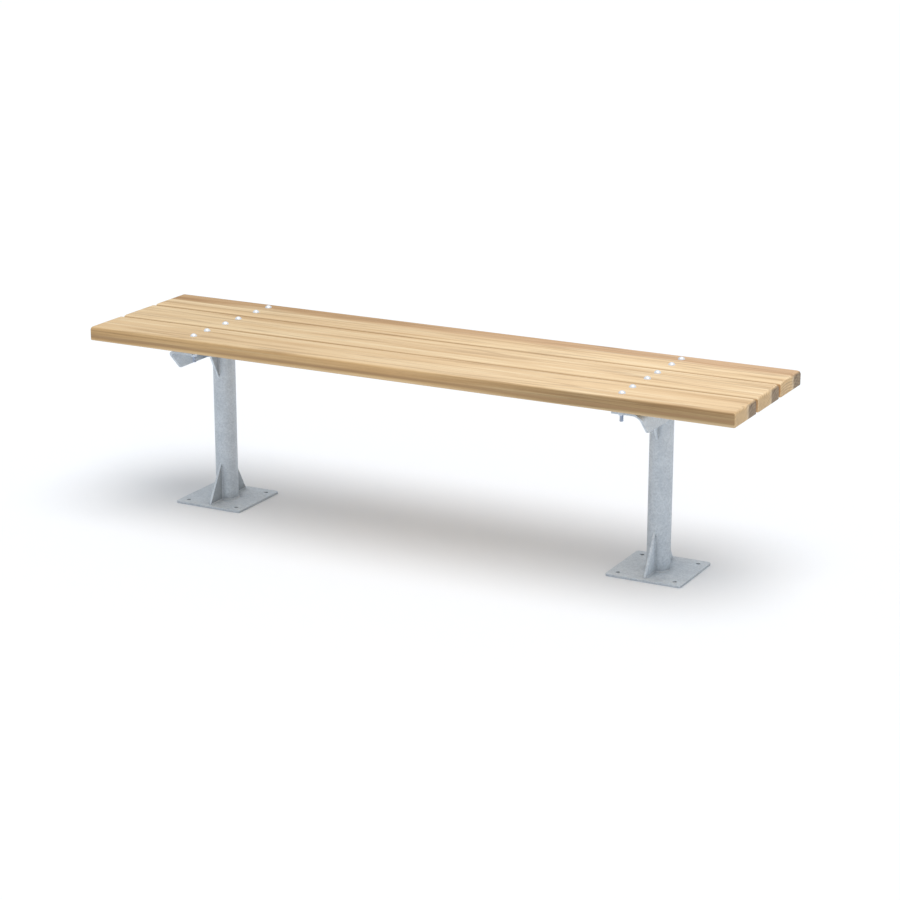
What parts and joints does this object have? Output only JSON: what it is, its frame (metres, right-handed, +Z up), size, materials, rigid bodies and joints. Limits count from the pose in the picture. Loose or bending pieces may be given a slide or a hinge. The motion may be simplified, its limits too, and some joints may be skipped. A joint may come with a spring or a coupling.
{
  "type": "backless bench",
  "caption": "Backless outdoor bench: timber planks bolted through cross arms on welded, galvanised pedestal legs with surface-mount base plates.",
  "frame": {"origin": "on the ground, at the middle of the bench's footprint, midway between the posts", "axes": "+Z up, +X along the bench, +Y to the back"},
  "size_m": [1.829, 0.4444, 0.5065],
  "materials": {
    "timber": "satin",
    "galvanised_steel": "matt, faint spangle",
    "bright_zinc": "bright",
    "plain_zinc": "satin"
  },
  "bodies": {
    "root": {"front_plank": "timber", "middle_plank": "timber", "rear_plank": "timber", "left_base_plate": "galvanised_steel", "left_post": "galvanised_steel", "left_front_base_gusset": "galvanised_steel", "left_rear_base_gusset": "galvanised_steel", "left_base_welds": "galvanised_steel", "left_cross_arm": "galvanised_steel", "left_front_arm_gusset": "galvanised_steel", "left_rear_arm_gusset": "galvanised_steel", "left_arm_welds": "galvanised_steel", "left_carriage_bolts": "bright_zinc", "left_washers": "plain_zinc", "left_nuts": "plain_zinc", "right_base_plate": "galvanised_steel", "right_post": "galvanised_steel", "right_front_base_gusset": "galvanised_steel", "right_rear_base_gusset": "galvanised_steel", "right_base_welds": "galvanised_steel", "right_cross_arm": "galvanised_steel", "right_front_arm_gusset": "galvanised_steel", "right_rear_arm_gusset": "galvanised_steel", "right_arm_welds": "galvanised_steel", "right_carriage_bolts": "bright_zinc", "right_washers": "plain_zinc", "right_nuts": "plain_zinc"}
  },
  "joints": []
}
